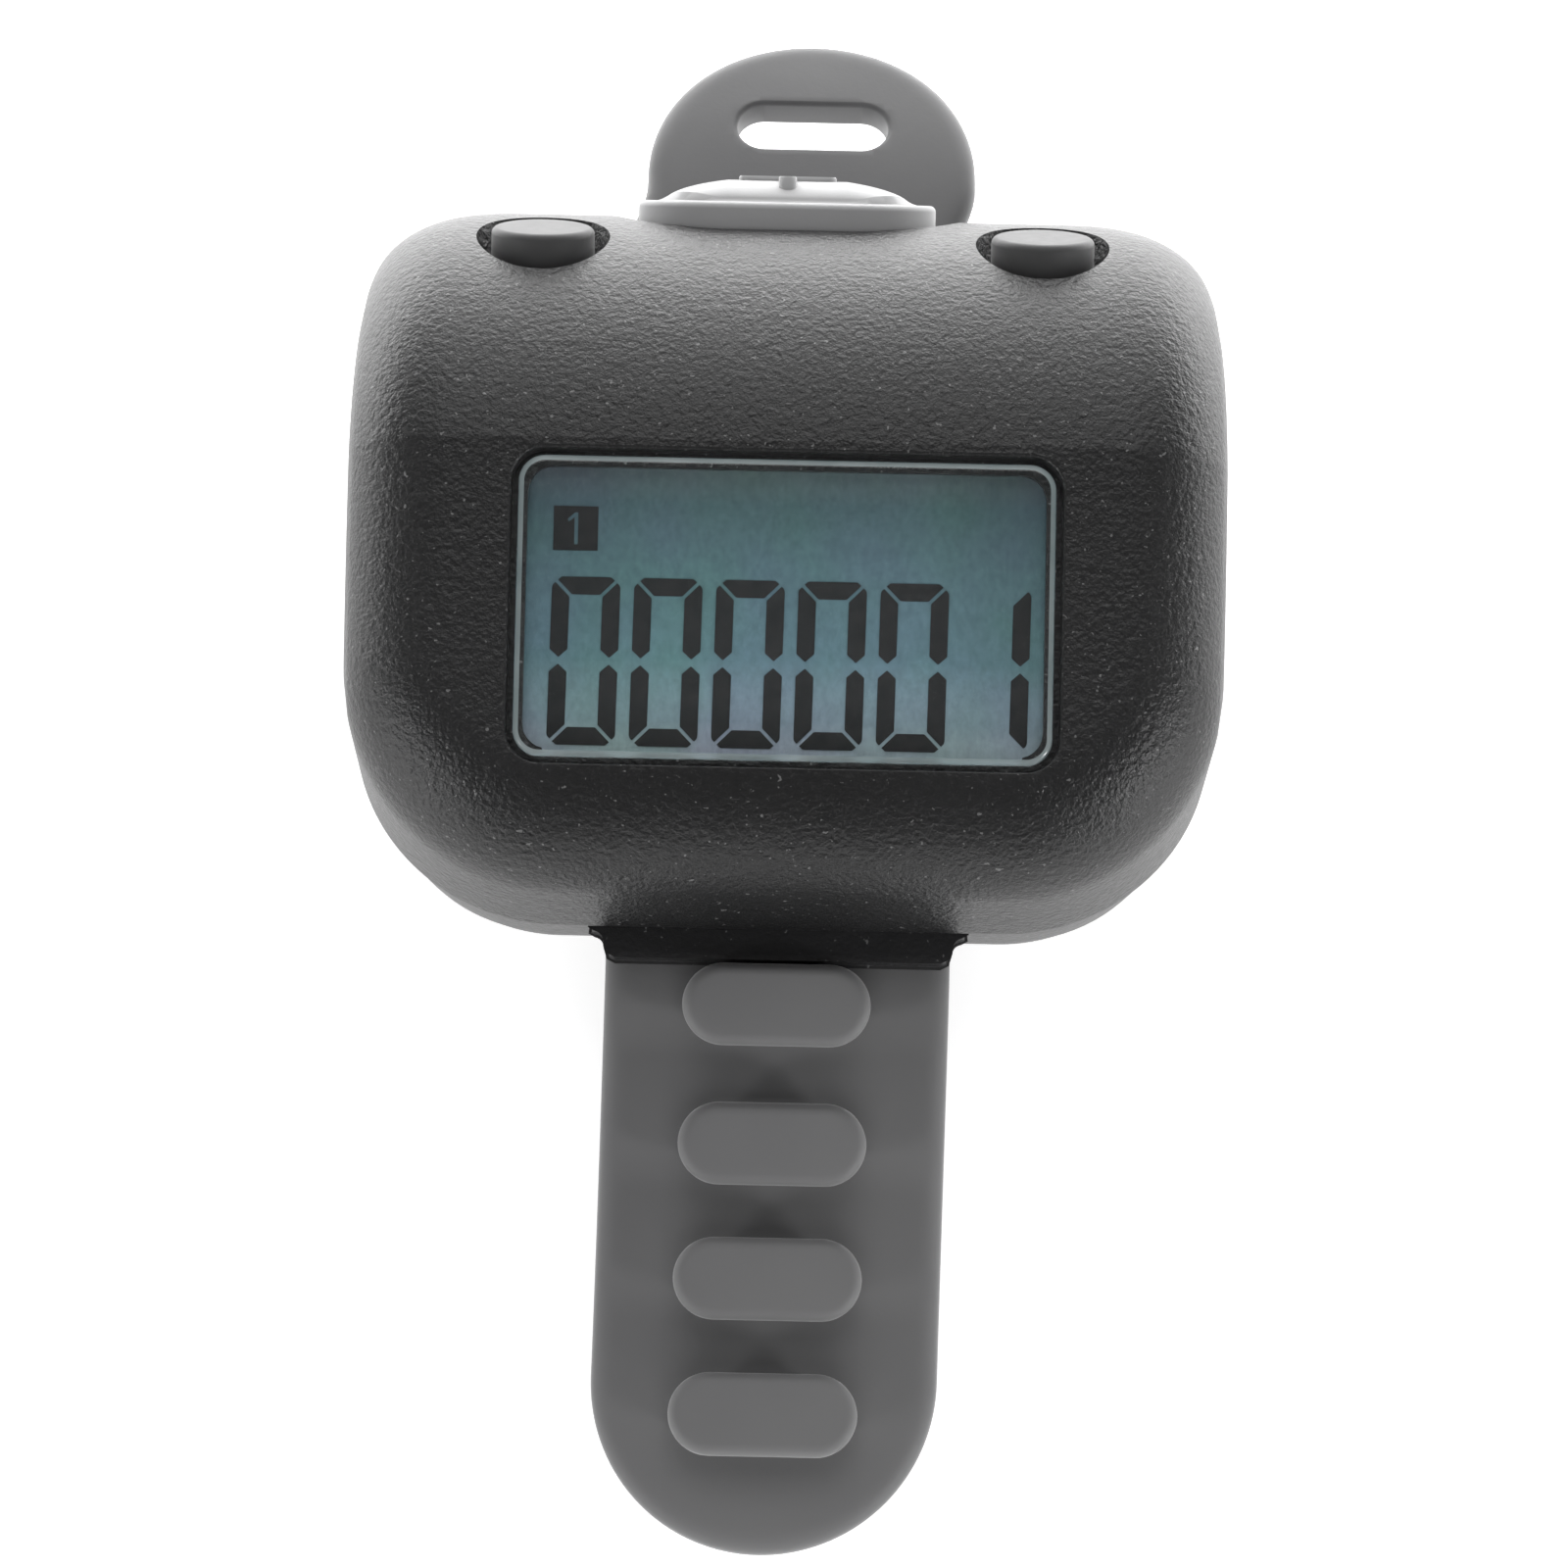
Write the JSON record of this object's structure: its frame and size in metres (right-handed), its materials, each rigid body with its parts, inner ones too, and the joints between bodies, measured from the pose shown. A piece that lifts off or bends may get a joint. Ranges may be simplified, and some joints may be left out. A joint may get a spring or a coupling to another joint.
{
  "type": "finger tally counter",
  "caption": "Finger-worn electronic tally counter: two-part housing with a sloped display, a large count button, two small keys and a studded silicone strap.",
  "frame": {"origin": "middle of the bottom of the whole counter's box, with the strap lying as it leaves the housing", "axes": "+Z out of the display side, -Y towards the stud end of the strap, +Y towards the count button and the slotted end, X across"},
  "size_m": [0.04, 0.075, 0.0238],
  "materials": {
    "black_plastic": "fine spark-eroded texture, satin",
    "strap_silicone": "soft matt silicone",
    "key_silicone": "matt silicone",
    "count_silicone": "matt silicone",
    "clear_plastic": "clear polished acrylic",
    "display_glass": "grey-teal liquid crystal panel with dark figures",
    "white_film": "matt reflecting film",
    "green_board": "solder mask over glass laminate",
    "epoxy": "black moulded epoxy",
    "steel": "plated steel",
    "pink_rubber": "layered conductive rubber",
    "ribbon": "polyester ribbon with printed tracks"
  },
  "bodies": {
    "housing": {"front_shell": "black_plastic", "bottom_shell": "black_plastic", "display_lens": "clear_plastic", "display_panel": "display_glass", "display_holder": "black_plastic", "zebra_strip": "pink_rubber", "display_reflector": "white_film", "main_board": "green_board", "controller_blob": "epoxy", "clock_crystal": "steel", "key_board": "green_board", "board_ribbon": "ribbon", "reset_switch": "epoxy", "channel_switch": "epoxy", "count_switch": "epoxy", "button_cell": "steel", "battery_door": "black_plastic", "battery_door_screw": "steel", "cell_contact_negative": "steel", "cell_contact_positive": "steel", "case_screw_1": "steel", "case_screw_2": "steel", "case_screw_3": "steel", "case_screw_4": "steel", "strap_middle": "strap_silicone"},
    "count_key": {"count_button": "count_silicone", "count_plunger": "steel"},
    "reset_key": {"reset_button": "key_silicone", "reset_plunger": "steel"},
    "channel_key": {"channel_button": "key_silicone", "channel_plunger": "steel"},
    "front_strap": {"strap_front": "strap_silicone"},
    "rear_strap": {"strap_rear": "strap_silicone"}
  },
  "joints": [
    {"name": "count_press", "type": "slide", "parent": "housing", "child": "count_key", "axis": [0, -0.9135, -0.4067], "range_m": [0, 0.0008], "stiffness_N_per_m": 400},
    {"name": "reset_press", "type": "slide", "parent": "housing", "child": "reset_key", "axis": [0, -0.8387, -0.5446], "range_m": [0, 0.0006], "stiffness_N_per_m": 400},
    {"name": "channel_press", "type": "slide", "parent": "housing", "child": "channel_key", "axis": [0, -0.8387, -0.5446], "range_m": [0, 0.0006], "stiffness_N_per_m": 400},
    {"name": "front_strap_bend", "type": "hinge", "parent": "housing", "child": "front_strap", "pos_m": [0, -0.01098, 0.00613], "axis": [1, 0, 0], "range_deg": [0, 75], "stiffness_Nm_per_rad": 0.006},
    {"name": "rear_strap_bend", "type": "hinge", "parent": "housing", "child": "rear_strap", "pos_m": [0, 0.02682, 0.00613], "axis": [-1, 0, 0], "range_deg": [-20, 75], "stiffness_Nm_per_rad": 0.006}
  ]
}
